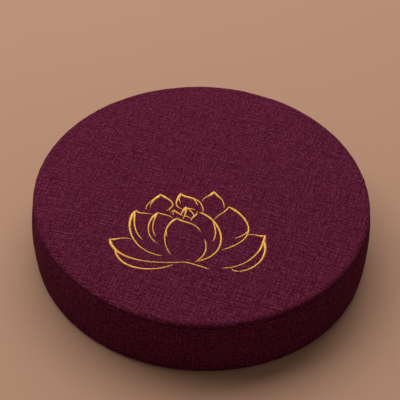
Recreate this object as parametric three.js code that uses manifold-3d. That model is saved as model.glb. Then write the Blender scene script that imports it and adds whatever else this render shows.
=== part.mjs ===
// Round meditation cushion: a firm boxed floor cushion in plain woven cloth, with a lotus flower
// stitched in gold thread on the front half of its top.
// Millimetres, +Z up. The origin is the middle of the underside, on the floor, and -Y is the front.

import * as THREE from 'three';
import Module from 'manifold-3d';

// Driving dimensions of the filled cushion
const PANEL_RADIUS = 202.2; // round top panel, out to its seam
const BASE_RADIUS = 203.5; // the lower seam, pressed a little wider by the weight on it
const RIM_HEIGHT = 82.5; // floor to the top panel, just inside its rim
const CROWN_RISE = 2.5; // swell of the top panel above its rim
const BAND_BELLY = 2.3; // swell of the side band past the line between the seams
const BELLY_SQUARENESS = 2.5; // 2 is a round belly, more is a straighter wall
const FOOT_INSET = 6; // from the lower seam in to the flat underside
const TURN_WIDTH = 6.2; // from the upper seam in to the flat of the panel, where the rim is crisp
const TURN_ROUNDNESS = 2.1; // 2 is a round turn, less is closer to a slope
const UPPER_SEAM_DROP = 7; // from the top panel's plane down to its seam
const LOWER_SEAM_HEIGHT = 5.5;
const SEAM_WIDTH = 3; // the groove that a sewn seam pulls into the filling
const SEAM_DEPTH = 1.3;
const OUT_OF_ROUND = 0.4; // the circle is this much longer along one diameter
const LONG_DIAMETER = THREE.MathUtils.degToRad(120); // and that diameter lies at this azimuth

// Where the filling has slumped outwards over the foot: azimuth and spread in degrees, and how far
const SLUMP = { azimuth: 306, spread: 30, out: 2.3 };

// A faint trough just inside the rim, where the turned-in seam allowance lifts the cloth beyond it
const TROUGH = { inset: 14, reach: 7, depth: 0.5 };

// Places where the upper rim has gone soft: azimuth and spread in degrees, the turn's added width and
// lost roundness, how far the seam is drawn up and in, and how far the panel sinks
const SOFT_RIMS = [
  { azimuth: 225, spread: 25, widen: 5, blunt: 0.7, draw_up: 0.5, draw_in: 4, sink: 1.2 },
  { azimuth: 5, spread: 34, widen: 4, blunt: 0.2, draw_up: 0, draw_in: 0.6, sink: 1.2 },
  { azimuth: 95, spread: 40, widen: 2, blunt: 0, draw_up: 0, draw_in: 0, sink: 0.7 },
];
const SINK_REACH = 55; // how far in from the rim a soft place still sinks the panel

// Shallow hollows left in the top panel by use: middle, reach, depth
const HOLLOWS = [
  { x: 138, y: 48, reach: 42, depth: 0.9 },
  { x: -70, y: 88, reach: 60, depth: 0.5 },
  { x: 45, y: 120, reach: 48, depth: 0.4 },
];

// Steps of the cushion's surface
const AZIMUTH_STEPS = 96;
const BAND_STEPS = 8;
const LOWER_TURN_STEPS = 4;
const UPPER_TURN_STEPS = 5;
const PANEL_RINGS = [4, 8, 13, 20, 32, 50, 75, 105, 140, 170]; // in from the upper turn
const FOOT_RINGS = [65, 130]; // out from the middle of the underside

// The stitched lotus: where its foot stands on the cushion, and the stitching's own sizes
const LOTUS_FOOT = new THREE.Vector2(-19, -125);
const THREAD_RISE = 0.9; // height of the satin stitch
const THREAD_CLEARANCE = 0.3; // between the stitching and the cloth
const THREAD_SHOULDER = 0.62; // width of the stitch's top as a share of its foot
const PETAL_GAP = 0.45; // between one petal's stitching and the next
const LINE_STEP = 4; // length of one facet along a stitched line
const TAPER_LENGTH = 5; // a line runs out to a point over this length at each end
const TAPER_LEAST = 0.35; // share of its width that is left at the point
const TRIM_DEPTH = 2; // reach of the cutting shape below and above the stitching

// Lines of the lotus by petal, those in front first. Each is a cubic curve from a point, bent by two
// guides, to a point, in millimetres from the flower's foot, with the stitching's width at the start,
// middle and end.
const LOTUS_PETALS = {
  front: [
    { from: [-11.2, 80.3], bend: [[-28, 70], [-30.5, 41.5]], to: [-19.2, 23.4], widths: [3.3, 1.5, 1.2] },
    { from: [-11.2, 80.3], bend: [[-4.5, 72], [9.5, 75]], to: [15.6, 58.3], widths: [3.0, 1.5, 1.2] },
    { from: [-23.8, 65], bend: [[-24.5, 60], [-24.3, 56]], to: [-23.3, 51.5], widths: [1.4, 1.4, 1.2] },
  ],
  left_inner: [
    { from: [-33.5, 89.4], bend: [[-46.5, 80], [-50.5, 52]], to: [-34.4, 41.8], widths: [3.4, 1.6, 1.2] },
    { from: [-33.5, 89.2], bend: [[-29, 86.5], [-21, 87]], to: [-16.4, 80.5], widths: [2.2, 1.4, 1.2] },
    { from: [-34.2, 88.4], bend: [[-40.5, 74], [-42, 62]], to: [-36.3, 52], widths: [2.6, 1.4, 1.2] },
  ],
  right_inner: [
    { from: [15.2, 90], bend: [[43, 78.5], [53, 21]], to: [8.2, 12.6], widths: [2.2, 2.1, 1.3] },
    { from: [30.5, 74.5], bend: [[33, 65], [34.5, 54]], to: [29, 43], widths: [1.8, 1.7, 1.2] },
    { from: [19.7, 46.5], bend: [[22.5, 36], [22, 22]], to: [9.2, 13.4], widths: [1.2, 1.6, 1.4] },
  ],
  left_outer: [
    { from: [-59.2, 93.6], bend: [[-74.5, 76], [-67, 29.5]], to: [-29.2, 22], widths: [4.4, 1.8, 1.2] },
    { from: [-59.2, 93.6], bend: [[-55.5, 87], [-49, 90]], to: [-40.2, 87], widths: [3.2, 1.4, 1.2] },
    { from: [-60.4, 89.6], bend: [[-63, 71], [-59.5, 57]], to: [-51.8, 47.4], widths: [3.2, 1.6, 1.2] },
  ],
  right_outer: [
    { from: [49.6, 99], bend: [[46.5, 90], [37, 87]], to: [32, 78.6], widths: [2.6, 1.3, 1.2] },
    { from: [49.6, 99], bend: [[65, 91.5], [95, 49]], to: [38.3, 29.7], widths: [3.0, 1.9, 1.2] },
    { from: [72, 61.5], bend: [[68.5, 55], [63, 51]], to: [55, 48], widths: [1.6, 1.4, 1.2] },
  ],
  left_low: [
    { from: [-89.5, 49], bend: [[-83, 46], [-74, 54]], to: [-64.6, 47.6], widths: [3.6, 1.4, 1.2] },
    { from: [-89.5, 49], bend: [[-84.5, 20], [-50, 9.5]], to: [-6, 12], widths: [3.9, 1.6, 1.2] },
    { from: [-83, 33.5], bend: [[-80, 5], [-44, -5]], to: [-17, 8.5], widths: [2.6, 1.9, 1.2] },
    { from: [-9, 12], bend: [[1, 12.4], [12, 6]], to: [23.5, 1], widths: [1.2, 1.4, 1.2] },
  ],
  right_low: [
    { from: [90, 52.2], bend: [[84, 48.5], [78, 56.5]], to: [69.8, 52.6], widths: [4.2, 1.5, 1.2] },
    { from: [90, 52.2], bend: [[87, 33], [72, 2.5]], to: [37.7, 2.5], widths: [3.9, 1.6, 1.2] },
    { from: [88.6, 44], bend: [[92, 16.5], [75, -1]], to: [57, -2.6], widths: [3.4, 2.1, 1.4] },
    { from: [58.5, -2.6], bend: [[53, -2.6], [49.4, -1.6]], to: [49, 2.6], widths: [1.4, 1.6, 1.3] },
  ],
  seed_head: [
    { from: [-0.7, 98.8], bend: [[-3, 95], [-4.2, 93]], to: [-7.4, 84.6], widths: [4.4, 2.0, 1.6] },
    { from: [-0.7, 98.8], bend: [[0, 90], [-3, 84]], to: [-4.7, 78.4], widths: [4.0, 1.8, 1.3] },
    { from: [-0.7, 97.6], bend: [[3, 96], [6, 96.6]], to: [10.4, 94.2], widths: [3.0, 1.4, 1.2] },
    { from: [0, 97.2], bend: [[4.5, 94], [8, 89]], to: [8.7, 83.4], widths: [1.6, 1.5, 1.6] },
    { from: [12, 91.6], bend: [[13.4, 84], [4.8, 84]], to: [5, 75.4], widths: [1.4, 2.2, 1.3] },
    { from: [-3, 82.4], bend: [[-1.4, 85.4], [2, 83.4]], to: [4, 79.6], widths: [1.3, 1.6, 1.2] },
    { from: [-14.8, 93.8], bend: [[-11.6, 90], [-9, 88]], to: [-4.6, 85], widths: [2.8, 2.0, 1.8] },
    { from: [-14.8, 93.8], bend: [[-16.6, 92.4], [-18.2, 91]], to: [-19.4, 89.6], widths: [2.4, 1.5, 1.3] },
    { from: [-14.6, 93], bend: [[-15, 90.4], [-15.8, 88]], to: [-16.4, 85.6], widths: [1.8, 1.4, 1.2] },
  ],
  left_back: [
    { from: [-30.4, 120], bend: [[-38, 110.5], [-49, 106]], to: [-47.5, 95], widths: [5.2, 1.7, 1.3] },
    { from: [-30.4, 120], bend: [[-19, 110.5], [-8, 103.5]], to: [-24.2, 92.6], widths: [4.0, 1.8, 1.4] },
    { from: [-36.5, 113], bend: [[-40, 109], [-42.6, 104]], to: [-42.8, 98.5], widths: [2.2, 1.5, 1.2] },
    { from: [-18.6, 99.4], bend: [[-19.4, 97], [-19.8, 95]], to: [-19.7, 92.4], widths: [1.6, 1.3, 1.2] },
  ],
  middle_back: [
    { from: [-6.4, 121.4], bend: [[-9.5, 111], [-18, 102]], to: [-4.6, 95], widths: [5.2, 2.2, 1.4] },
    { from: [-6.4, 121.4], bend: [[-2, 111.5], [20, 118.5]], to: [19.6, 91], widths: [3.4, 1.9, 1.5] },
    { from: [-8.8, 114], bend: [[-8, 110.6], [-7.6, 107.6]], to: [-7, 104.4], widths: [2.0, 1.4, 1.2] },
    { from: [7.6, 113.4], bend: [[10.6, 109.6], [12.4, 105.4]], to: [13.3, 100.6], widths: [1.5, 1.4, 1.2] },
  ],
  right_back: [
    { from: [33.6, 124.4], bend: [[28, 114.5], [20, 116.5]], to: [19, 107.6], widths: [5.4, 1.7, 1.3] },
    { from: [33.6, 124.4], bend: [[37.5, 114.5], [45.5, 115]], to: [44.6, 97.2], widths: [3.8, 1.6, 1.3] },
  ],
};

const clothMaterial = new THREE.MeshStandardMaterial({ color: 0x571b2e, roughness: 0.95, metalness: 0 });
const threadMaterial = new THREE.MeshStandardMaterial({ color: 0xe6b13c, roughness: 0.5, metalness: 0 });

const wasm = await Module();
wasm.setup();

// Share of a local effect, 1 at its middle and fading over its reach
const fade = (distance, reach) => Math.exp(-((distance / reach) ** 2));

// Share of an effect that is centred on one place round the rim
function fadeRound(azimuth, place) {
  const turned = THREE.MathUtils.radToDeg(azimuth) - place.azimuth;
  return fade(THREE.MathUtils.euclideanModulo(turned + 180, 360) - 180, place.spread);
}

// What the soft places add up to at one azimuth
function rimSoftness(azimuth) {
  const total = { widen: 0, blunt: 0, draw_up: 0, draw_in: 0, sink: 0 };
  for (const place of SOFT_RIMS) {
    for (const effect of Object.keys(total)) total[effect] += place[effect] * fadeRound(azimuth, place);
  }
  return total;
}

// Height of the top panel's cloth above the floor
function panelHeight(x, y) {
  const radius = Math.hypot(x, y);
  const crown = CROWN_RISE * (1 - (radius / PANEL_RADIUS) ** 2);
  const trough = TROUGH.depth * fade(radius - (PANEL_RADIUS - TROUGH.inset), TROUGH.reach);
  const nearRim = THREE.MathUtils.smoothstep(radius, PANEL_RADIUS - SINK_REACH, PANEL_RADIUS);
  const sink = rimSoftness(Math.atan2(y, x)).sink * nearRim;
  let hollow = 0;
  for (const place of HOLLOWS) {
    hollow += place.depth * fade(Math.hypot(x - place.x, y - place.y), place.reach);
  }
  return RIM_HEIGHT + crown - trough - sink - hollow;
}

// A sewn seam in the side: the cloth turns in to the stitches and out again
function seamGroove(radius, height) {
  return [
    { radius, z: height - SEAM_WIDTH / 2 },
    { radius: radius - SEAM_DEPTH, z: height },
    { radius, z: height + SEAM_WIDTH / 2 },
  ];
}

// Section of the cushion at one azimuth, from the middle of the underside round to the top panel
function cushionSection(azimuth) {
  const outline = FOOT_RINGS.map((radius) => ({ radius, z: 0 }));
  const baseRadius = BASE_RADIUS + SLUMP.out * fadeRound(azimuth, SLUMP);
  const lowerSeam = seamGroove(baseRadius, LOWER_SEAM_HEIGHT);
  for (let step = 0; step < LOWER_TURN_STEPS; step += 1) {
    const turn = (step / LOWER_TURN_STEPS) * (Math.PI / 2);
    outline.push({
      radius: baseRadius - FOOT_INSET * (1 - Math.sin(turn)),
      z: lowerSeam[0].z * (1 - Math.cos(turn)),
    });
  }
  const soft = rimSoftness(azimuth);
  const panelRadius = PANEL_RADIUS - soft.draw_in;
  const upperSeam = seamGroove(panelRadius, RIM_HEIGHT - UPPER_SEAM_DROP + soft.draw_up);
  const bandFoot = lowerSeam[2].z;
  const bandHead = upperSeam[0].z;
  outline.push(...lowerSeam);
  for (let step = 1; step < BAND_STEPS; step += 1) {
    const share = step / BAND_STEPS;
    const swell = BAND_BELLY * (1 - Math.abs(2 * share - 1) ** BELLY_SQUARENESS);
    outline.push({
      radius: THREE.MathUtils.lerp(baseRadius, panelRadius, share) + swell,
      z: THREE.MathUtils.lerp(bandFoot, bandHead, share),
    });
  }
  outline.push(...upperSeam);
  const lip = upperSeam[2].z;
  const turnWidth = TURN_WIDTH + soft.widen;
  const roundness = TURN_ROUNDNESS - soft.blunt;
  for (let step = 1; step <= UPPER_TURN_STEPS; step += 1) {
    const turn = (step / UPPER_TURN_STEPS) * (Math.PI / 2);
    const inward = 1 - Math.cos(turn) ** (2 / roundness);
    const lift = Math.sin(turn) ** (2 / roundness);
    outline.push({ radius: panelRadius - turnWidth * inward, lip, lift });
  }
  for (const inset of PANEL_RINGS) {
    outline.push({ radius: panelRadius - turnWidth - inset, lip, lift: 1 });
  }
  return outline;
}

// One closed skin from the sections all round: a point with a lift rises from the seam to the panel
function cushionGeometry() {
  const positions = [];
  const index = [];
  let rings = 0;
  for (let step = 0; step < AZIMUTH_STEPS; step += 1) {
    const azimuth = (step / AZIMUTH_STEPS) * 2 * Math.PI;
    const stretch = 1 + (OUT_OF_ROUND / PANEL_RADIUS) * Math.cos(2 * (azimuth - LONG_DIAMETER));
    const section = cushionSection(azimuth);
    rings = section.length;
    for (const point of section) {
      const x = point.radius * stretch * Math.cos(azimuth);
      const y = point.radius * stretch * Math.sin(azimuth);
      const z = point.z ?? THREE.MathUtils.lerp(point.lip, panelHeight(x, y), point.lift);
      positions.push(x, y, z);
    }
  }
  const under = positions.length / 3;
  const over = under + 1;
  positions.push(0, 0, 0, 0, 0, panelHeight(0, 0));
  for (let step = 0; step < AZIMUTH_STEPS; step += 1) {
    const here = step * rings;
    const next = ((step + 1) % AZIMUTH_STEPS) * rings;
    index.push(under, next, here);
    for (let ring = 0; ring < rings - 1; ring += 1) {
      index.push(here + ring, next + ring, next + ring + 1);
      index.push(here + ring, next + ring + 1, here + ring + 1);
    }
    index.push(here + rings - 1, next + rings - 1, over);
  }
  return facetedGeometry(positions, index);
}

// Points and triangles as one geometry
function facetedGeometry(positions, index) {
  const geometry = new THREE.BufferGeometry();
  geometry.setAttribute('position', new THREE.Float32BufferAttribute(positions, 3));
  geometry.setIndex(index);
  geometry.computeVertexNormals();
  return geometry;
}

// Width of a stitched line, a smooth curve through its three widths, drawn in to a point at both ends
function widthAt([start, middle, end], along, length) {
  const slope = 4 * middle - 3 * start - end;
  const curve = 2 * start - 4 * middle + 2 * end;
  const fromEnd = Math.min(along, 1 - along) * length;
  const taper = THREE.MathUtils.lerp(TAPER_LEAST, 1, Math.min(1, fromEnd / TAPER_LENGTH));
  return taper * (start + slope * along + curve * along * along);
}

// Section of the satin stitch, from its left foot over its top, as [across, height above the cloth]
function threadSection(half) {
  const top = THREAD_CLEARANCE + THREAD_RISE;
  const shoulder = half * THREAD_SHOULDER;
  return [[half, THREAD_CLEARANCE], [shoulder, top], [-shoulder, top], [-half, THREAD_CLEARANCE]];
}

// Section of the space that a line keeps free of the petals behind it
function clearSection(half) {
  const wide = half + PETAL_GAP;
  return [[wide, -TRIM_DEPTH], [wide, TRIM_DEPTH], [-wide, TRIM_DEPTH], [-wide, -TRIM_DEPTH]];
}

// A solid with one section all along a line, resting on the panel's cloth
function solidAlongLine(line, section, overrun = 0) {
  const guides = [line.from, ...line.bend, line.to].map((point) => new THREE.Vector2(...point));
  const curve = new THREE.CubicBezierCurve(...guides);
  const length = curve.getLength();
  const steps = Math.ceil(length / LINE_STEP);
  const positions = [];
  const index = [];
  let corners = 0;
  for (let step = 0; step <= steps; step += 1) {
    const along = curve.getPointAt(step / steps);
    const ahead = curve.getTangentAt(step / steps);
    if (step === 0) along.addScaledVector(ahead, -overrun);
    if (step === steps) along.addScaledVector(ahead, overrun);
    const outline = section(widthAt(line.widths, step / steps, length) / 2);
    corners = outline.length;
    for (const [across, height] of outline) {
      const x = along.x - ahead.y * across;
      const y = along.y + ahead.x * across;
      positions.push(x, y, panelHeight(LOTUS_FOOT.x + x, LOTUS_FOOT.y + y) + height);
    }
  }
  for (let step = 0; step < steps; step += 1) {
    for (let corner = 0; corner < corners; corner += 1) {
      const here = step * corners + corner;
      const beside = step * corners + ((corner + 1) % corners);
      index.push(here, beside, beside + corners, here, beside + corners, here + corners);
    }
  }
  const last = steps * corners;
  for (let corner = 1; corner < corners - 1; corner += 1) {
    index.push(0, corner + 1, corner, last, last + corner, last + corner + 1);
  }
  const vertProperties = new Float32Array(positions);
  const triVerts = new Uint32Array(index);
  return new wasm.Manifold(new wasm.Mesh({ numProp: 3, vertProperties, triVerts }));
}

// Several solids joined into one
const joined = (solids) => solids.reduce((whole, solid) => whole.add(solid));

// The petals in their order from the front: each gives way to those before it
function lotus() {
  const flower = new THREE.Group();
  const cleared = [];
  for (const [petal, lines] of Object.entries(LOTUS_PETALS)) {
    const whole = joined(lines.map((line) => solidAlongLine(line, threadSection)));
    const trimmed = cleared.reduce((rest, space) => rest.subtract(space), whole);
    cleared.push(joined(lines.map((line) => solidAlongLine(line, clearSection, PETAL_GAP))));
    const { vertProperties, triVerts } = trimmed.getMesh();
    const geometry = facetedGeometry(Array.from(vertProperties), Array.from(triVerts));
    const mesh = new THREE.Mesh(geometry, threadMaterial);
    mesh.name = `lotus_${petal}`;
    flower.add(mesh);
  }
  flower.position.set(LOTUS_FOOT.x, LOTUS_FOOT.y, 0);
  return flower;
}

// The filled cover as one named piece
function cushion() {
  const mesh = new THREE.Mesh(cushionGeometry(), clothMaterial);
  mesh.name = 'cushion';
  return mesh;
}

const meditationCushion = new THREE.Group();
meditationCushion.add(cushion(), lotus());

export default meditationCushion;
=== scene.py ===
# Looks of the round meditation cushion: its filled woven cover, the gold lotus stitched on it, and
# the plain floor and light that it is seen in. Metres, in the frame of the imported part.
import math

import bpy
import numpy as np
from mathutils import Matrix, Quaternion, Vector
from mathutils.kdtree import KDTree


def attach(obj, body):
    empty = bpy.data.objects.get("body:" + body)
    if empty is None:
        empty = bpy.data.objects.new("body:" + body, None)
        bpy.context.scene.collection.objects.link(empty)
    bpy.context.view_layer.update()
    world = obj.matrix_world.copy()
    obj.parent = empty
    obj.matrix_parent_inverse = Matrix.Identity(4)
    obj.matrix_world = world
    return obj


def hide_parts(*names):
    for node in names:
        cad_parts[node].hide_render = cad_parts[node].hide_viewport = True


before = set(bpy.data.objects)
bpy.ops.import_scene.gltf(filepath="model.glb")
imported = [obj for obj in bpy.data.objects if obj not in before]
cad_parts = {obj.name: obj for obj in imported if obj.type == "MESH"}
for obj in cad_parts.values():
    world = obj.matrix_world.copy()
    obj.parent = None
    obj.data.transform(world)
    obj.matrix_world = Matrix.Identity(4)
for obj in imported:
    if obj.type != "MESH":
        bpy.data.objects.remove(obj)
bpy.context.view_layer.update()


# The camera stands in front of the cushion, a little to the left, and looks down at 45 degrees.
# Its place, lens and roll are fitted to the photograph.
CAMERA_TARGET = Vector((0.0016, 0.0702, 0.0))
CAMERA_AZIMUTH = math.radians(-2.91)
CAMERA_ELEVATION = math.radians(45.16)
CAMERA_ROLL = math.radians(1.78)
CAMERA_DISTANCE = 1.553
FOCAL_PIXELS = 1206
PICTURE_PIXELS = 400
SENSOR_MM = 36

toward_camera = Vector((
    math.sin(CAMERA_AZIMUTH) * math.cos(CAMERA_ELEVATION),
    -math.cos(CAMERA_AZIMUTH) * math.cos(CAMERA_ELEVATION),
    math.sin(CAMERA_ELEVATION),
))
camera_data = bpy.data.cameras.new("photo_camera")
camera_data.sensor_width = SENSOR_MM
camera_data.lens = FOCAL_PIXELS / PICTURE_PIXELS * SENSOR_MM
camera = bpy.data.objects.new("photo_camera", camera_data)
camera.location = CAMERA_TARGET + toward_camera * CAMERA_DISTANCE
camera.rotation_mode = "QUATERNION"
level = (-toward_camera).to_track_quat("-Z", "Y")
camera.rotation_quaternion = level @ Quaternion((0, 0, 1), CAMERA_ROLL)
bpy.context.collection.objects.link(camera)
bpy.context.scene.camera = camera


# The filled cover: a round top panel, a side band and a round bottom panel of plain-woven cloth,
# joined by two sewn seams and pulled tight over a firm disc of foam. It is woven from mixed
# dark wine and lighter yarns, and the weave lies a little askew on the top.
PANEL_RADIUS = 0.2022
BASE_RADIUS = 0.2035
RIM_HEIGHT = 0.0825
LOWER_SEAM_HEIGHT = 0.0055
UPPER_SEAM_DROP = 0.007
BAND_BELLY = 0.0023
BELLY_SQUARENESS = 2.5
FOOT_INSET = 0.006
TURN_WIDTH = 0.0062
TURN_ROUNDNESS = 2.1
SEAM_HALF_WIDTH = 0.0015
SEAM_DEPTH = 0.0018
OUT_OF_ROUND = 0.0004
LONG_DIAMETER = math.radians(120)
TROUGH_INSET, TROUGH_REACH, TROUGH_DEPTH = 0.014, 0.007, 0.0005
SINK_REACH = 0.055
SEAM_SHARPNESS = 1.5

# How finely the cover is divided: steps round it, and rings in each stretch of its section
AZIMUTH_STEPS = 384
FOOT_RINGS, LOWER_TURN_RINGS, SEAM_RINGS = 14, 7, 9
BAND_RINGS, UPPER_TURN_RINGS, PANEL_RINGS = 24, 13, 54
FOOT_SPAN = (0.02, 0.98)
PANEL_MIDDLE = 0.008

# Places where the upper rim has gone soft: azimuth and spread in degrees, the turn's added width
# and lost roundness, how far the seam is drawn up and in, and how far the panel sinks
SOFT_RIMS = [
    {"azimuth": 225, "spread": 25, "widen": 0.005, "blunt": 0.7,
     "draw_up": 0.0005, "draw_in": 0.004, "sink": 0.0012},
    {"azimuth": 5, "spread": 34, "widen": 0.004, "blunt": 0.2,
     "draw_up": 0, "draw_in": 0.0006, "sink": 0.0012},
    {"azimuth": 95, "spread": 40, "widen": 0.002, "blunt": 0,
     "draw_up": 0, "draw_in": 0, "sink": 0.0007},
]

# Where the filling has slumped outwards over the foot: azimuth and spread in degrees, and how far
SLUMP = {"azimuth": 306, "spread": 30, "out": 0.0023}

# Shallow hollows left in the top panel by use: middle, reach and depth
HOLLOWS = [
    {"x": 0.138, "y": 0.048, "reach": 0.042, "depth": 0.0009},
    {"x": -0.070, "y": 0.088, "reach": 0.060, "depth": 0.0005},
    {"x": 0.045, "y": 0.120, "reach": 0.048, "depth": 0.0004},
]


def fade(distance, reach):
    """Share of a local effect, 1 at its middle and fading over its reach."""
    return np.exp(-((distance / reach) ** 2))


def smooth(low, high, value):
    """0 below low, 1 above high, and a smooth step between."""
    share = np.clip((value - low) / (high - low), 0, 1)
    return share * share * (3 - 2 * share)


def fade_round(azimuth, place):
    """Share of an effect that is centred on one place round the rim."""
    return fade((np.degrees(azimuth) - place["azimuth"] + 180) % 360 - 180, place["spread"])


def rim_softness(azimuth, key):
    """What the soft places add up to at these azimuths."""
    return sum(place[key] * fade_round(azimuth, place) for place in SOFT_RIMS)


def base_radius(azimuth):
    """Radius of the lower seam."""
    return BASE_RADIUS + SLUMP["out"] * fade_round(azimuth, SLUMP)


def panel_dip(x, y):
    """How far the trough, the soft rims and the hollows lower the top panel at x, y."""
    radius = np.hypot(x, y)
    dip = TROUGH_DEPTH * fade(radius - (PANEL_RADIUS - TROUGH_INSET), TROUGH_REACH)
    near_rim = smooth(PANEL_RADIUS - SINK_REACH, PANEL_RADIUS, radius)
    dip += rim_softness(np.arctan2(y, x), "sink") * near_rim
    for place in HOLLOWS:
        dip += place["depth"] * fade(np.hypot(x - place["x"], y - place["y"]), place["reach"])
    return dip


def panel_radius(azimuth):
    """Radius of the upper seam, between the band and the top panel."""
    return PANEL_RADIUS - rim_softness(azimuth, "draw_in")


def upper_seam_height(azimuth):
    """Height of the upper seam."""
    return RIM_HEIGHT - UPPER_SEAM_DROP + rim_softness(azimuth, "draw_up")


def cover_section(azimuth):
    """Rings of the cover from the underside's middle round to the top's: radius, height, region."""
    rings = []
    lower_radius, upper_radius = base_radius(azimuth), panel_radius(azimuth)
    foot_radius = BASE_RADIUS - FOOT_INSET
    lower_seam = LOWER_SEAM_HEIGHT
    upper_seam = upper_seam_height(azimuth)

    def add(radius, height, region):
        rings.append((radius + 0 * azimuth, height + 0 * azimuth, region))

    def add_seam(radius, height, below, above):
        for across in np.linspace(-1, 1, SEAM_RINGS):
            depth = SEAM_DEPTH * (1 - abs(across)) ** SEAM_SHARPNESS
            add(radius - depth, height + across * SEAM_HALF_WIDTH, below if across < 0 else above)

    for share in np.linspace(*FOOT_SPAN, FOOT_RINGS):
        add(foot_radius * share, 0.0, "bottom")
    for turn in np.linspace(0, math.pi / 2, LOWER_TURN_RINGS)[:-1]:
        height = (lower_seam - SEAM_HALF_WIDTH) * (1 - math.cos(turn))
        add(lower_radius - FOOT_INSET * (1 - math.sin(turn)), height, "bottom")
    add_seam(lower_radius, lower_seam, "bottom", "band")
    band_height = upper_seam - lower_seam - 2 * SEAM_HALF_WIDTH
    for share in np.linspace(0, 1, BAND_RINGS)[1:-1]:
        height = lower_seam + SEAM_HALF_WIDTH + share * band_height
        belly = BAND_BELLY * (1 - abs(2 * share - 1) ** BELLY_SQUARENESS)
        add(lower_radius + share * (upper_radius - lower_radius) + belly, height, "band")
    add_seam(upper_radius, upper_seam, "band", "top")
    turn_width = TURN_WIDTH + rim_softness(azimuth, "widen")
    roundness = TURN_ROUNDNESS - rim_softness(azimuth, "blunt")
    lip = upper_seam + SEAM_HALF_WIDTH
    for turn in np.linspace(0, math.pi / 2, UPPER_TURN_RINGS)[1:]:
        outward = max(0, math.cos(turn)) ** (2 / roundness)
        upward = math.sin(turn) ** (2 / roundness)
        radius = upper_radius - turn_width * (1 - outward)
        x, y = radius * np.cos(azimuth), radius * np.sin(azimuth)
        add(radius, lip + (RIM_HEIGHT - panel_dip(x, y) - lip) * upward, "top")
    for share in np.linspace(1, PANEL_MIDDLE, PANEL_RINGS)[1:]:
        radius = (upper_radius - turn_width) * share
        x, y = radius * np.cos(azimuth), radius * np.sin(azimuth)
        add(radius, RIM_HEIGHT - panel_dip(x, y), "top")
    return rings


def closed_rings(name, rings, azimuth):
    """A mesh of quads between the rings, closed by a fan at each pole."""
    radius = np.array([ring[0] for ring in rings])
    height = np.array([ring[1] for ring in rings])
    count, steps = radius.shape
    stretch = 1 + OUT_OF_ROUND / PANEL_RADIUS * np.cos(2 * (azimuth - LONG_DIAMETER))
    points = np.stack(
        [radius * stretch * np.cos(azimuth), radius * stretch * np.sin(azimuth), height], axis=-1
    ).reshape(-1, 3)
    poles = [[0, 0, height[0].mean()], [0, 0, height[-1].mean()]]
    points = np.vstack([points, poles])
    faces = []
    for step in range(steps):
        after = (step + 1) % steps
        faces.append((count * steps, after, step))
        for ring in range(count - 1):
            row = ring * steps
            faces.append((row + step, row + after, row + steps + after, row + steps + step))
        last = (count - 1) * steps
        faces.append((last + step, last + after, count * steps + 1))
    mesh = bpy.data.meshes.new(name)
    mesh.from_pydata(points.tolist(), [], faces)
    mesh.update()
    return mesh


def points_of(mesh):
    """The mesh's points as an array."""
    flat = np.empty(len(mesh.vertices) * 3, dtype=np.float32)
    mesh.vertices.foreach_get("co", flat)
    return flat.reshape(-1, 3).astype(float)


def set_points(mesh, points):
    """Gives the mesh these points."""
    mesh.vertices.foreach_set("co", points.astype(np.float32).ravel())
    mesh.update()


# The swell of the cloth between its seams, from a simulation of the cover as a closed skin under
# pressure from inside, held where the seams are.
VOXEL = 0.005
PRESSURE = 4.0
STRETCH_STIFFNESS = 40
BENDING_STIFFNESS = 8
LAST_FRAME = 20
SEAM_HOLD = 0.007
MOST_SWELL = 0.0031
BLEND_REACH = 0.007
BLEND_POINTS = 14


def simulated_swell(start_mesh):
    """Points of a coarse skin before the simulation, and how far each one moved."""
    skin = bpy.data.objects.new("swelling_skin", start_mesh.copy())
    bpy.context.collection.objects.link(skin)
    remesh = skin.modifiers.new("even_faces", "REMESH")
    remesh.mode = "VOXEL"
    remesh.voxel_size = VOXEL
    depsgraph = bpy.context.evaluated_depsgraph_get()
    coarse = bpy.data.meshes.new_from_object(skin.evaluated_get(depsgraph))
    skin.modifiers.clear()
    skin.data = coarse
    before = points_of(coarse)
    radius = np.hypot(before[:, 0], before[:, 1])
    held = np.zeros(len(before), dtype=bool)
    around = np.arctan2(before[:, 1], before[:, 0])
    for seam_radius, height in (
        (base_radius(around), LOWER_SEAM_HEIGHT), (panel_radius(around), upper_seam_height(around))
    ):
        held |= np.hypot(radius - seam_radius, before[:, 2] - height) < SEAM_HOLD
    seams = skin.vertex_groups.new(name="seams")
    seams.add(np.nonzero(held)[0].tolist(), 1.0, "REPLACE")
    cloth = skin.modifiers.new("swell", "CLOTH")
    cloth.settings.vertex_group_mass = "seams"
    cloth.settings.use_pressure = True
    cloth.settings.uniform_pressure_force = PRESSURE
    cloth.settings.effector_weights.gravity = 0
    cloth.settings.tension_stiffness = STRETCH_STIFFNESS
    cloth.settings.compression_stiffness = STRETCH_STIFFNESS
    cloth.settings.bending_stiffness = BENDING_STIFFNESS
    cloth.point_cache.frame_start, cloth.point_cache.frame_end = 1, LAST_FRAME
    scene = bpy.context.scene
    for frame_number in range(1, LAST_FRAME + 1):
        scene.frame_set(frame_number)
    depsgraph = bpy.context.evaluated_depsgraph_get()
    swollen = bpy.data.meshes.new_from_object(skin.evaluated_get(depsgraph))
    moved = points_of(swollen) - before
    bpy.data.objects.remove(skin)
    scene.frame_set(1)
    return before, moved


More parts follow.
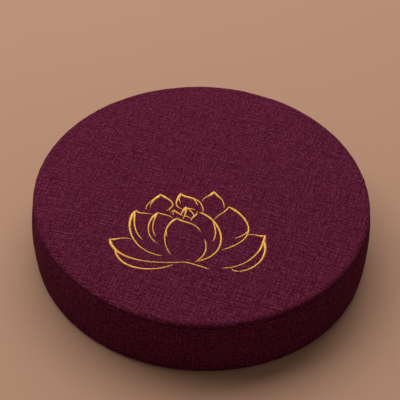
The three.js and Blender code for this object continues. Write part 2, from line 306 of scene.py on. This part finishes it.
def carried(points, before, moved):
    """The coarse skin's movement carried over to finer points, limited and blended."""
    length = np.linalg.norm(moved, axis=1, keepdims=True)
    limited = moved * (MOST_SWELL * np.tanh(length / MOST_SWELL) / np.maximum(length, 1e-9))
    tree = KDTree(len(before))
    for index, point in enumerate(before):
        tree.insert(point, index)
    tree.balance()
    result = np.zeros_like(points)
    for row, point in enumerate(points):
        near = tree.find_n(point, BLEND_POINTS)
        weights = np.array([math.exp(-((distance / BLEND_REACH) ** 2)) for _, _, distance in near])
        picked = limited[[index for _, index, _ in near]]
        result[row] = weights @ picked / weights.sum()
    return result


# Puckers where the seams gather the cloth, strongest at a seam and gone a finger's width away
PUCKER_HEIGHT = 0.00018
PUCKER_REACH = 0.011
PUCKERS_ROUND = (24, 90)
PUCKER_WAVES = 9
PUCKER_EVENING = 3.5


def ripples(azimuth, seed):
    """An uneven ripple round the cushion between about -1 and 1, from a few seeded waves."""
    rng = np.random.default_rng(seed)
    total = np.zeros_like(azimuth)
    for _ in range(PUCKER_WAVES):
        total += np.sin(rng.integers(*PUCKERS_ROUND) * azimuth + rng.uniform(0, 2 * math.pi))
    return total / PUCKER_EVENING


azimuth = np.arange(AZIMUTH_STEPS) / AZIMUTH_STEPS * 2 * math.pi
rings = cover_section(azimuth)
cover_mesh = closed_rings("cushion_cover", rings, azimuth)
points = points_of(cover_mesh)
points += carried(points, *simulated_swell(cover_mesh))

point_azimuth = np.arctan2(points[:, 1], points[:, 0])
point_radius = np.hypot(points[:, 0], points[:, 1])
outward = points[:, :2] / np.maximum(point_radius, 1e-6)[:, None]
for seed, seam_radius, height in (
    (3, base_radius(point_azimuth), LOWER_SEAM_HEIGHT),
    (5, panel_radius(point_azimuth), upper_seam_height(point_azimuth)),
):
    away = np.hypot(point_radius - seam_radius, points[:, 2] - height)
    push = PUCKER_HEIGHT * ripples(point_azimuth, seed) * fade(away, PUCKER_REACH)
    points[:, :2] += outward * push[:, None]

# The cloth gives a little everywhere: long shallow undulations of the top and the band
SLACK_HEIGHT = 0.00030
SLACK_LENGTH = 0.085
SLACK_WAVES = 14
SLACK_EVENING = 3.7
TOP_STARTS, TOP_WHOLE = 0.012, 0.002
rng = np.random.default_rng(11)
slack = np.zeros(len(points))
for _ in range(SLACK_WAVES):
    wave = rng.normal(0, 1, 3) * 2 * math.pi / SLACK_LENGTH
    slack += np.sin(points @ wave + rng.uniform(0, 2 * math.pi))
slack *= SLACK_HEIGHT / SLACK_EVENING
top_side = smooth(RIM_HEIGHT - TOP_STARTS, RIM_HEIGHT - TOP_WHOLE, points[:, 2])
points[:, 2] += slack * top_side
points[:, :2] += outward * (slack * (1 - top_side) * (points[:, 2] > LOWER_SEAM_HEIGHT))[:, None]
points[:, 2] = np.maximum(points[:, 2], 0.0)
set_points(cover_mesh, points)

# The weave's own map, in metres of cloth: along and across each panel, and round and up the band
GRAIN_TURN = math.radians(21)
region_of_ring = [ring[2] for ring in rings]
ring_points = points[:-2].reshape(len(rings), AZIMUTH_STEPS, 3)


def weave_map():
    """Cloth positions of the rings' points on the panels and the band, measured on the section."""
    steps = np.linalg.norm(np.diff(ring_points, axis=0), axis=2).mean(axis=1)
    run = np.concatenate([[0], np.cumsum(steps)])
    from_foot = run + np.linalg.norm(ring_points[0], axis=1).mean()
    from_top = run[-1] - run + np.hypot(*ring_points[-1, :, :2].T).mean()
    first_band = region_of_ring.index("band")
    angle = np.append(azimuth, 2 * math.pi)
    places = {}
    for kind, out in (("bottom", from_foot), ("top", from_top)):
        turned = angle + (GRAIN_TURN if kind == "top" else 0)
        places[kind] = np.stack(
            [np.outer(out, np.cos(turned)), np.outer(out, np.sin(turned))], axis=-1
        )
    along = angle * BASE_RADIUS
    up = run - run[first_band]
    places["band"] = np.stack(
        [np.tile(along, (len(rings), 1)), np.tile(up[:, None], len(angle))], axis=-1
    )
    return places


cloth_places = weave_map()
weave_layer = cover_mesh.uv_layers.new(name="weave")
corner_places = np.zeros((len(cover_mesh.loops), 2))
ring_count = len(rings)
corner = 0
for step in range(AZIMUTH_STEPS):
    corner_places[corner:corner + 3] = [
        (0, 0), cloth_places["bottom"][0, step + 1], cloth_places["bottom"][0, step]
    ]
    corner += 3
    for ring in range(ring_count - 1):
        place = cloth_places[region_of_ring[ring + 1]]
        corner_places[corner:corner + 4] = [
            place[ring, step], place[ring, step + 1],
            place[ring + 1, step + 1], place[ring + 1, step],
        ]
        corner += 4
    corner_places[corner:corner + 3] = [
        cloth_places["top"][-1, step], cloth_places["top"][-1, step + 1], (0, 0)
    ]
    corner += 3
weave_layer.uv.foreach_set("vector", corner_places.astype(np.float32).ravel())
cover_mesh.polygons.foreach_set("use_smooth", [True] * len(cover_mesh.polygons))


class Nodes:
    """Short calls that add and join the nodes of one tree."""

    def __init__(self, tree):
        self.tree = tree

    def add(self, kind, inputs=None, **settings):
        node = self.tree.nodes.new(kind)
        for name, value in settings.items():
            setattr(node, name, value)
        for name, value in (inputs or {}).items():
            self.feed(node.inputs[name], value)
        return node

    def feed(self, socket, value):
        if isinstance(value, bpy.types.NodeSocket):
            self.tree.links.new(value, socket)
        else:
            socket.default_value = value

    def math(self, operation, first, second=0.0):
        node = self.add("ShaderNodeMath", {0: first, 1: second}, operation=operation)
        return node.outputs[0]


# The weave's sizes, counted in yarns: a smaller stretch is a longer slub, streak or fibre
YARN_PITCH = 0.0015
YARN_ROUNDING = 3.2
TONE_SPREAD = 7.31
SLUB_STRETCH = 0.22
FIBRES_PER_YARN = 5.0
FIBRE_STRETCH = 0.8
STREAKS_PER_YARN = 1.2
STREAK_STRETCH = 0.04
STREAK_SHIFT = 0.8
WARP_STREAKS = 0.7
# Yarn heights from where the painted shade between the yarns is deepest to where it ends
GAP_DEEP, GAP_OVER = 0.25, 0.75
CLOTH_DARK = (0.024, 0.0008, 0.0045, 1)
CLOTH_MIDDLE = (0.096, 0.0072, 0.0275, 1)
CLOTH_LIGHT = (0.205, 0.046, 0.100, 1)
# How much of the cloth's colour is left deep in the gaps between yarns, as painted shade
GAP_PAINTED_SHADE = 0.55

# How far each source of unevenness moves the tone of a spot of cloth
YARN_SHARE = 1.95
STREAK_SHARE = 0.72
FIBRE_SHARE = 0.5


def uneven_tone(nodes, shares):
    """Sum of sources between 0 and 1, each weighted by its share and centred on a half."""
    total = 0.5 - 0.5 * sum(share for _, share in shares)
    for source, share in shares:
        total = nodes.math("ADD", nodes.math("MULTIPLY", source, share), total)
    return total


def yarn(nodes, across, along, side, seed):
    """One direction of yarns: its height as it passes over and under, and its slubby tone."""
    number = nodes.math("FLOOR", across)
    off_middle = nodes.math("SUBTRACT", nodes.math("FRACT", across), 0.5)
    fall = nodes.math("MULTIPLY", nodes.math("POWER", off_middle, 2.0), YARN_ROUNDING)
    rounded = nodes.math("SUBTRACT", 1.0, fall)
    wave = nodes.math("SINE", nodes.math("MULTIPLY", nodes.math("ADD", along, number), math.pi))
    lift = nodes.math("ADD", nodes.math("MULTIPLY", wave, 0.5 * side), 0.5)
    place = nodes.add("ShaderNodeCombineXYZ", {
        "X": nodes.math("MULTIPLY", number, TONE_SPREAD),
        "Y": nodes.math("MULTIPLY", along, SLUB_STRETCH), "Z": seed,
    })
    slub = nodes.add("ShaderNodeTexNoise", {
        "Vector": place.outputs[0], "Scale": 1.0, "Detail": 3.0, "Roughness": 0.8,
    })
    strand = nodes.add("ShaderNodeCombineXYZ", {
        "X": nodes.math("MULTIPLY", across, FIBRES_PER_YARN),
        "Y": nodes.math("MULTIPLY", along, FIBRE_STRETCH), "Z": seed,
    })
    fibre = nodes.add("ShaderNodeTexNoise", {
        "Vector": strand.outputs[0], "Scale": 1.0, "Detail": 1.0,
    })
    tone = uneven_tone(nodes, [
        (slub.outputs["Fac"], YARN_SHARE), (fibre.outputs["Fac"], FIBRE_SHARE),
    ])
    return nodes.math("MULTIPLY", rounded, lift), tone


def streaks(nodes, across, along, seed):
    """Long streaks about a yarn wide, each light one beside a dark one."""
    bands = []
    for shift in (0.0, STREAK_SHIFT):
        place = nodes.add("ShaderNodeCombineXYZ", {
            "X": nodes.math("MULTIPLY", nodes.math("ADD", across, shift), STREAKS_PER_YARN),
            "Y": nodes.math("MULTIPLY", along, STREAK_STRETCH), "Z": seed,
        })
        band = nodes.add("ShaderNodeTexNoise", {
            "Vector": place.outputs[0], "Scale": 1.0, "Detail": 1.0, "Roughness": 0.5,
        })
        bands.append(band.outputs["Fac"])
    return nodes.math("ADD", nodes.math("SUBTRACT", *bands), 0.5)


def cloth_material():
    """Plain weave of mixed yarns, each with its own tone and slubs, and streaked both ways, with
    painted shade in the gaps between the yarns.
    """
    material = bpy.data.materials.new("cover_cloth")
    material.use_nodes = True
    material.node_tree.nodes.clear()
    nodes = Nodes(material.node_tree)
    place = nodes.add("ShaderNodeUVMap", uv_map="weave")
    axes = nodes.add("ShaderNodeSeparateXYZ", {0: place.outputs[0]})
    across = nodes.math("DIVIDE", axes.outputs[0], YARN_PITCH)
    along = nodes.math("DIVIDE", axes.outputs[1], YARN_PITCH)
    warp_height, warp_tone = yarn(nodes, across, along, 1, 2.0)
    weft_height, weft_tone = yarn(nodes, along, across, -1, 9.0)
    over = nodes.math("GREATER_THAN", warp_height, weft_height)
    height = nodes.math("MAXIMUM", warp_height, weft_height)
    tone = nodes.add("ShaderNodeMix", {0: over, 2: weft_tone, 3: warp_tone}).outputs[0]
    mixed = uneven_tone(nodes, [
        (tone, 1.0),
        (streaks(nodes, across, along, 17.0), WARP_STREAKS * STREAK_SHARE),
        (streaks(nodes, along, across, 23.0), STREAK_SHARE),
    ])
    ramp = nodes.add("ShaderNodeValToRGB", {0: mixed})
    ramp.color_ramp.elements[0].color = CLOTH_DARK
    ramp.color_ramp.elements[1].color = CLOTH_LIGHT
    middle = ramp.color_ramp.elements.new(0.50)
    middle.color = CLOTH_MIDDLE
    # Painted shade: the colour is darkened where a yarn sinks into the gaps between yarns, besides
    # the bump
    depth = nodes.add("ShaderNodeMapRange", {
        "Value": height, "From Min": GAP_DEEP, "From Max": GAP_OVER,
        "To Min": GAP_PAINTED_SHADE, "To Max": 1.0,
    })
    shaded = nodes.add(
        "ShaderNodeVectorMath", {0: ramp.outputs[0], "Scale": depth.outputs[0]}, operation="SCALE"
    )
    bump = nodes.add("ShaderNodeBump", {"Height": height, "Strength": 0.6, "Distance": 0.00025})
    surface = nodes.add("ShaderNodeBsdfPrincipled", {
        "Base Color": shaded.outputs[0], "Roughness": 0.92, "Normal": bump.outputs[0],
        "Specular IOR Level": 0.03,
    })
    nodes.add("ShaderNodeOutputMaterial", {"Surface": surface.outputs[0]})
    return material


cover = bpy.data.objects.new("cushion_cover", cover_mesh)
bpy.context.collection.objects.link(cover)
cover_mesh.materials.append(cloth_material())
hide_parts("cushion")
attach(cover, "root")


# The lotus: satin stitching in gold thread, sewn through the top panel before the cover was made
# up. Each line of a petal is a column of threads laid side by side across it, raised in the
# middle and sunk into the cloth at both edges, and drawn in to a point at its ends.
LOTUS_FOOT = Vector((-0.019, -0.125))
LOTUS_UNIT = 0.001
TAPER_LENGTH = 5
TAPER_LEAST = 0.35
GUIDE_STEPS = 24
STITCH_PITCH = 0.00036
THREAD_WIDTH = 0.00044
STITCH_SPAN = 0.0020
STITCH_RISE = 0.00055
STITCH_SINK = 0.00018
STITCH_SLANT = math.radians(9)
STITCH_UNEVEN = math.radians(4)
ARCH_STEPS = 6
THREAD_SIDES = 5
NARROW_RISE = 0.45
LEAN_SEED, TONE_SEED = 4, 7

# Lines of each petal in millimetres from the flower's foot: a cubic curve from a point, bent by two
# guides, to a point, and the stitching's width at its start, middle and end
LOTUS_PETALS = {
    "front": [
        {"from": (-11.2, 80.3), "bend": [(-28, 70), (-30.5, 41.5)], "to": (-19.2, 23.4),
         "widths": (3.3, 1.5, 1.2)},
        {"from": (-11.2, 80.3), "bend": [(-4.5, 72), (9.5, 75)], "to": (15.6, 58.3),
         "widths": (3.0, 1.5, 1.2)},
        {"from": (-23.8, 65), "bend": [(-24.5, 60), (-24.3, 56)], "to": (-23.3, 51.5),
         "widths": (1.4, 1.4, 1.2)},
    ],
    "left_inner": [
        {"from": (-33.5, 89.4), "bend": [(-46.5, 80), (-50.5, 52)], "to": (-34.4, 41.8),
         "widths": (3.4, 1.6, 1.2)},
        {"from": (-33.5, 89.2), "bend": [(-29, 86.5), (-21, 87)], "to": (-16.4, 80.5),
         "widths": (2.2, 1.4, 1.2)},
        {"from": (-34.2, 88.4), "bend": [(-40.5, 74), (-42, 62)], "to": (-36.3, 52),
         "widths": (2.6, 1.4, 1.2)},
    ],
    "right_inner": [
        {"from": (15.2, 90), "bend": [(43, 78.5), (53, 21)], "to": (8.2, 12.6),
         "widths": (2.2, 2.1, 1.3)},
        {"from": (30.5, 74.5), "bend": [(33, 65), (34.5, 54)], "to": (29, 43),
         "widths": (1.8, 1.7, 1.2)},
        {"from": (19.7, 46.5), "bend": [(22.5, 36), (22, 22)], "to": (9.2, 13.4),
         "widths": (1.2, 1.6, 1.4)},
    ],
    "left_outer": [
        {"from": (-59.2, 93.6), "bend": [(-74.5, 76), (-67, 29.5)], "to": (-29.2, 22),
         "widths": (4.4, 1.8, 1.2)},
        {"from": (-59.2, 93.6), "bend": [(-55.5, 87), (-49, 90)], "to": (-40.2, 87),
         "widths": (3.2, 1.4, 1.2)},
        {"from": (-60.4, 89.6), "bend": [(-63, 71), (-59.5, 57)], "to": (-51.8, 47.4),
         "widths": (3.2, 1.6, 1.2)},
    ],
    "right_outer": [
        {"from": (49.6, 99), "bend": [(46.5, 90), (37, 87)], "to": (32, 78.6),
         "widths": (2.6, 1.3, 1.2)},
        {"from": (49.6, 99), "bend": [(65, 91.5), (95, 49)], "to": (38.3, 29.7),
         "widths": (3.0, 1.9, 1.2)},
        {"from": (72, 61.5), "bend": [(68.5, 55), (63, 51)], "to": (55, 48),
         "widths": (1.6, 1.4, 1.2)},
    ],
    "left_low": [
        {"from": (-89.5, 49), "bend": [(-83, 46), (-74, 54)], "to": (-64.6, 47.6),
         "widths": (3.6, 1.4, 1.2)},
        {"from": (-89.5, 49), "bend": [(-84.5, 20), (-50, 9.5)], "to": (-6, 12),
         "widths": (3.9, 1.6, 1.2)},
        {"from": (-83, 33.5), "bend": [(-80, 5), (-44, -5)], "to": (-17, 8.5),
         "widths": (2.6, 1.9, 1.2)},
        {"from": (-9, 12), "bend": [(1, 12.4), (12, 6)], "to": (23.5, 1),
         "widths": (1.2, 1.4, 1.2)},
    ],
    "right_low": [
        {"from": (90, 52.2), "bend": [(84, 48.5), (78, 56.5)], "to": (69.8, 52.6),
         "widths": (4.2, 1.5, 1.2)},
        {"from": (90, 52.2), "bend": [(87, 33), (72, 2.5)], "to": (37.7, 2.5),
         "widths": (3.9, 1.6, 1.2)},
        {"from": (88.6, 44), "bend": [(92, 16.5), (75, -1)], "to": (57, -2.6),
         "widths": (3.4, 2.1, 1.4)},
        {"from": (58.5, -2.6), "bend": [(53, -2.6), (49.4, -1.6)], "to": (49, 2.6),
         "widths": (1.4, 1.6, 1.3)},
    ],
    "seed_head": [
        {"from": (-0.7, 98.8), "bend": [(-3, 95), (-4.2, 93)], "to": (-7.4, 84.6),
         "widths": (4.4, 2.0, 1.6)},
        {"from": (-0.7, 98.8), "bend": [(0, 90), (-3, 84)], "to": (-4.7, 78.4),
         "widths": (4.0, 1.8, 1.3)},
        {"from": (-0.7, 97.6), "bend": [(3, 96), (6, 96.6)], "to": (10.4, 94.2),
         "widths": (3.0, 1.4, 1.2)},
        {"from": (0, 97.2), "bend": [(4.5, 94), (8, 89)], "to": (8.7, 83.4),
         "widths": (1.6, 1.5, 1.6)},
        {"from": (12, 91.6), "bend": [(13.4, 84), (4.8, 84)], "to": (5, 75.4),
         "widths": (1.4, 2.2, 1.3)},
        {"from": (-3, 82.4), "bend": [(-1.4, 85.4), (2, 83.4)], "to": (4, 79.6),
         "widths": (1.3, 1.6, 1.2)},
        {"from": (-14.8, 93.8), "bend": [(-11.6, 90), (-9, 88)], "to": (-4.6, 85),
         "widths": (2.8, 2.0, 1.8)},
        {"from": (-14.8, 93.8), "bend": [(-16.6, 92.4), (-18.2, 91)], "to": (-19.4, 89.6),
         "widths": (2.4, 1.5, 1.3)},
        {"from": (-14.6, 93), "bend": [(-15, 90.4), (-15.8, 88)], "to": (-16.4, 85.6),
         "widths": (1.8, 1.4, 1.2)},
    ],
    "left_back": [
        {"from": (-30.4, 120), "bend": [(-38, 110.5), (-49, 106)], "to": (-47.5, 95),
         "widths": (5.2, 1.7, 1.3)},
        {"from": (-30.4, 120), "bend": [(-19, 110.5), (-8, 103.5)], "to": (-24.2, 92.6),
         "widths": (4.0, 1.8, 1.4)},
        {"from": (-36.5, 113), "bend": [(-40, 109), (-42.6, 104)], "to": (-42.8, 98.5),
         "widths": (2.2, 1.5, 1.2)},
        {"from": (-18.6, 99.4), "bend": [(-19.4, 97), (-19.8, 95)], "to": (-19.7, 92.4),
         "widths": (1.6, 1.3, 1.2)},
    ],
    "middle_back": [
        {"from": (-6.4, 121.4), "bend": [(-9.5, 111), (-18, 102)], "to": (-4.6, 95),
         "widths": (5.2, 2.2, 1.4)},
        {"from": (-6.4, 121.4), "bend": [(-2, 111.5), (20, 118.5)], "to": (19.6, 91),
         "widths": (3.4, 1.9, 1.5)},
        {"from": (-8.8, 114), "bend": [(-8, 110.6), (-7.6, 107.6)], "to": (-7, 104.4),
         "widths": (2.0, 1.4, 1.2)},
        {"from": (7.6, 113.4), "bend": [(10.6, 109.6), (12.4, 105.4)], "to": (13.3, 100.6),
         "widths": (1.5, 1.4, 1.2)},
    ],
    "right_back": [
        {"from": (33.6, 124.4), "bend": [(28, 114.5), (20, 116.5)], "to": (19, 107.6),
         "widths": (5.4, 1.7, 1.3)},
        {"from": (33.6, 124.4), "bend": [(37.5, 114.5), (45.5, 115)], "to": (44.6, 97.2),
         "widths": (3.8, 1.6, 1.3)},
    ],
}


def line_places(line, shares):
    """Points of a line's cubic curve at these shares of its parameter."""
    guides = [np.array(point, dtype=float) for point in (line["from"], *line["bend"], line["to"])]
    left = 1 - shares
    weights = (left**3, 3 * left**2 * shares, 3 * left * shares**2, shares**3)
    return sum(np.outer(weight, guide) for weight, guide in zip(weights, guides))


def line_widths(line, places):
    """Width of the stitching at each point: through its three widths, drawn in to a point."""
    run = np.concatenate([[0], np.cumsum(np.linalg.norm(np.diff(places, axis=0), axis=1))])
    share = run / run[-1]
    start, middle, end = line["widths"]
    slope = 4 * middle - 3 * start - end
    curve = 2 * start - 4 * middle + 2 * end
    from_end = np.minimum(run, run[-1] - run)
    taper = TAPER_LEAST + (1 - TAPER_LEAST) * np.minimum(1, from_end / TAPER_LENGTH)
    return taper * (start + slope * share + curve * share**2)


def stitching_tree():
    """Geometry nodes that lay threads side by side across the guide lines."""
    tree = bpy.data.node_groups.new("satin_stitching", "GeometryNodeTree")
    tree.is_modifier = True
    tree.interface.new_socket("Guides", in_out="INPUT", socket_type="NodeSocketGeometry")
    for name in ("Pitch", "Thread width", "Span", "Rise", "Sink", "Slant", "Unevenness"):
        tree.interface.new_socket(name, in_out="INPUT", socket_type="NodeSocketFloat")
    tree.interface.new_socket("Thread material", in_out="INPUT", socket_type="NodeSocketMaterial")
    tree.interface.new_socket("Stitching", in_out="OUTPUT", socket_type="NodeSocketGeometry")
    nodes = Nodes(tree)
    given = nodes.add("NodeGroupInput").outputs

    half_span = nodes.math("MULTIPLY", given["Span"], 0.5)
    below = nodes.math("MULTIPLY", given["Sink"], -1.0)
    start = nodes.add("ShaderNodeCombineXYZ", {
        "Y": nodes.math("MULTIPLY", half_span, -1.0), "Z": below,
    })
    crown = nodes.math("MULTIPLY", nodes.math("ADD", given["Rise"], given["Sink"]), 2.0)
    middle = nodes.add("ShaderNodeCombineXYZ", {"Z": nodes.math("SUBTRACT", crown, given["Sink"])})
    end = nodes.add("ShaderNodeCombineXYZ", {"Y": half_span, "Z": below})
    arch = nodes.add("GeometryNodeCurveQuadraticBezier", {
        "Resolution": ARCH_STEPS, "Start": start.outputs[0],
        "Middle": middle.outputs[0], "End": end.outputs[0],
    })
    ring = nodes.add("GeometryNodeCurvePrimitiveCircle", {
        "Resolution": THREAD_SIDES, "Radius": nodes.math("MULTIPLY", given["Thread width"], 0.5),
    })
    thread = nodes.add("GeometryNodeCurveToMesh", {
        "Curve": arch.outputs[0], "Profile Curve": ring.outputs[0], "Fill Caps": True,
    })
    thread = nodes.add("GeometryNodeSetShadeSmooth", {"Geometry": thread.outputs[0]})

    lines = nodes.add("GeometryNodeMeshToCurve", {"Mesh": given["Guides"]})
    places = nodes.add("GeometryNodeCurveToPoints", {
        "Curve": lines.outputs[0], "Length": given["Pitch"],
    }, mode="LENGTH")
    ahead = nodes.add("FunctionNodeAlignRotationToVector", {
        "Vector": places.outputs["Tangent"],
    }, axis="X", pivot_axis="Z")
    lean = nodes.add("FunctionNodeRandomValue", {
        "Min": nodes.math("MULTIPLY", given["Unevenness"], -1.0),
        "Max": given["Unevenness"], "Seed": LEAN_SEED,
    }, data_type="FLOAT")
    lean_output = next(socket for socket in lean.outputs if socket.enabled)
    turn = nodes.add("ShaderNodeCombineXYZ", {"Z": nodes.math("ADD", lean_output, given["Slant"])})
    turn = nodes.add("FunctionNodeEulerToRotation", {0: turn.outputs[0]})
    laid = nodes.add("FunctionNodeRotateRotation", {
        "Rotation": ahead.outputs[0], "Rotate By": turn.outputs[0],
    }, rotation_space="LOCAL")
    width = nodes.add("GeometryNodeInputNamedAttribute", {"Name": "width"}, data_type="FLOAT")
    length_share = nodes.math("DIVIDE", width.outputs[0], given["Span"])
    rise_share = nodes.math("POWER", length_share, NARROW_RISE)
    size = nodes.add("ShaderNodeCombineXYZ", {"X": 1.0, "Y": length_share, "Z": rise_share})
    stitches = nodes.add("GeometryNodeInstanceOnPoints", {
        "Points": places.outputs["Points"], "Instance": thread.outputs[0],
        "Rotation": laid.outputs[0], "Scale": size.outputs[0],
    })
    tone = nodes.add("FunctionNodeRandomValue", {"Seed": TONE_SEED}, data_type="FLOAT")
    tone_output = next(socket for socket in tone.outputs if socket.enabled)
    toned = nodes.add("GeometryNodeStoreNamedAttribute", {
        "Geometry": stitches.outputs[0], "Name": "tone", "Value": tone_output,
    }, data_type="FLOAT", domain="INSTANCE")
    real = nodes.add("GeometryNodeRealizeInstances", {"Geometry": toned.outputs[0]})
    dressed = nodes.add("GeometryNodeSetMaterial", {
        "Geometry": real.outputs[0], "Material": given["Thread material"],
    })
    nodes.add("NodeGroupOutput", {0: dressed.outputs[0]})
    return tree


THREAD_DARK = (1.0, 0.44, 0.03, 1)
THREAD_LIGHT = (1.0, 0.75, 0.21, 1)
FIBRE_SCALE = 5200.0
FIBRE_DEPTH = 0.00006


def thread_material():
    """Shiny gold embroidery thread, each stitch a little lighter or darker than the next."""
    material = bpy.data.materials.new("gold_thread")
    material.use_nodes = True
    material.node_tree.nodes.clear()
    nodes = Nodes(material.node_tree)
    tone = nodes.add("ShaderNodeAttribute", attribute_name="tone")
    ramp = nodes.add("ShaderNodeValToRGB", {0: tone.outputs["Fac"]})
    ramp.color_ramp.elements[0].color = THREAD_DARK
    ramp.color_ramp.elements[1].color = THREAD_LIGHT
    place = nodes.add("ShaderNodeTexCoord")
    fibres = nodes.add("ShaderNodeTexNoise", {
        "Vector": place.outputs["Object"], "Scale": FIBRE_SCALE, "Detail": 1.0,
    })
    bump = nodes.add("ShaderNodeBump", {
        "Height": fibres.outputs["Fac"], "Strength": 0.35, "Distance": FIBRE_DEPTH,
    })
    surface = nodes.add("ShaderNodeBsdfPrincipled", {
        "Base Color": ramp.outputs[0], "Roughness": 0.34, "Metallic": 0.6,
        "Normal": bump.outputs[0], "Specular IOR Level": 1.0, "Specular Tint": (1.0, 0.97, 0.9, 1),
    })
    nodes.add("ShaderNodeOutputMaterial", {"Surface": surface.outputs[0]})
    return material


def cloth_height(x, y):
    """Height of the finished cover straight below a point above its top."""
    hit, place, _, _ = cover.ray_cast(Vector((x, y, 2 * RIM_HEIGHT)), Vector((0, 0, -1)))
    return place.z if hit else RIM_HEIGHT


def petal_guides(petal, lines):
    """A petal's guide lines on the cloth as one object, with the width at each point."""
    guide_points, edges, widths = [], [], []
    for line in lines:
        places = line_places(line, np.linspace(0, 1, GUIDE_STEPS + 1))
        first = len(guide_points)
        for place in places:
            x, y = LOTUS_FOOT + Vector(place) * LOTUS_UNIT
            guide_points.append((x, y, cloth_height(x, y)))
        edges += [(first + step, first + step + 1) for step in range(GUIDE_STEPS)]
        widths += (line_widths(line, places) * LOTUS_UNIT).tolist()
    mesh = bpy.data.meshes.new(f"guides_{petal}")
    mesh.from_pydata(guide_points, edges, [])
    mesh.attributes.new("width", "FLOAT", "POINT").data.foreach_set("value", widths)
    guides = bpy.data.objects.new(f"guides_{petal}", mesh)
    bpy.context.collection.objects.link(guides)
    return guides


def stitched(petal, lines, tree, material):
    """A petal's finished stitching as a plain mesh."""
    guides = petal_guides(petal, lines)
    modifier = guides.modifiers.new("stitching", "NODES")
    modifier.node_group = tree
    values = {
        "Pitch": STITCH_PITCH, "Thread width": THREAD_WIDTH, "Span": STITCH_SPAN,
        "Rise": STITCH_RISE, "Sink": STITCH_SINK,
        "Slant": STITCH_SLANT, "Unevenness": STITCH_UNEVEN,
        "Thread material": material,
    }
    for item in tree.interface.items_tree:
        if item.name in values and item.in_out == "INPUT":
            modifier[item.identifier] = values[item.name]
    depsgraph = bpy.context.evaluated_depsgraph_get()
    mesh = bpy.data.meshes.new_from_object(guides.evaluated_get(depsgraph))
    bpy.data.objects.remove(guides)
    mesh.name = f"stitching_{petal}"
    piece = bpy.data.objects.new(f"stitching_{petal}", mesh)
    bpy.context.collection.objects.link(piece)
    return piece


bpy.context.view_layer.update()
satin_tree = stitching_tree()
gold_thread = thread_material()
for petal, lines in LOTUS_PETALS.items():
    stitching = stitched(petal, lines, satin_tree, gold_thread)
    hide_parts(f"lotus_{petal}")
    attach(stitching, "root")


# The stage: a plain pale floor, a broad soft light from above, behind and a little to the left,
# and a weaker one from the front so that the side band doesn't go black.
FLOOR_HALF = 6.0
FLOOR_COLOUR = (0.40, 0.224, 0.144, 1)
LIGHTS = [
    {"name": "sky_panel", "place": (-0.45, 1.35, 2.5), "size": (4.4, 2.1), "watts": 116,
     "colour": (1.0, 0.97, 0.94)},
    {"name": "room_fill", "place": (0.6, -2.6, 2.2), "size": (2.4, 2.4), "watts": 5,
     "colour": (1.0, 0.74, 0.64)},
]
ROOM_LIGHT = (0.17, 0.155, 0.14, 1)

floor_mesh = bpy.data.meshes.new("floor")
floor_corners = [(-1, -1), (1, -1), (1, 1), (-1, 1)]
floor_points = [(x * FLOOR_HALF, y * FLOOR_HALF, 0) for x, y in floor_corners]
floor_mesh.from_pydata(floor_points, [], [(0, 1, 2, 3)])
floor = bpy.data.objects.new("floor", floor_mesh)
bpy.context.collection.objects.link(floor)
floor_material = bpy.data.materials.new("pale_floor")
floor_material.use_nodes = True
floor_surface = floor_material.node_tree.nodes["Principled BSDF"]
floor_surface.inputs["Base Color"].default_value = FLOOR_COLOUR
floor_surface.inputs["Roughness"].default_value = 0.8
floor_mesh.materials.append(floor_material)

for light in LIGHTS:
    data = bpy.data.lights.new(light["name"], "AREA")
    data.shape = "RECTANGLE"
    data.size, data.size_y = light["size"]
    data.energy = light["watts"]
    data.color = light["colour"]
    lamp = bpy.data.objects.new(light["name"], data)
    lamp.location = light["place"]
    lamp.rotation_mode = "QUATERNION"
    lamp.rotation_quaternion = (-lamp.location).to_track_quat("-Z", "Y")
    bpy.context.collection.objects.link(lamp)

world = bpy.data.worlds.new("room")
world.use_nodes = True
world.node_tree.nodes["Background"].inputs["Color"].default_value = ROOM_LIGHT
bpy.context.scene.world = world
bpy.context.scene.view_settings.view_transform = "Standard"
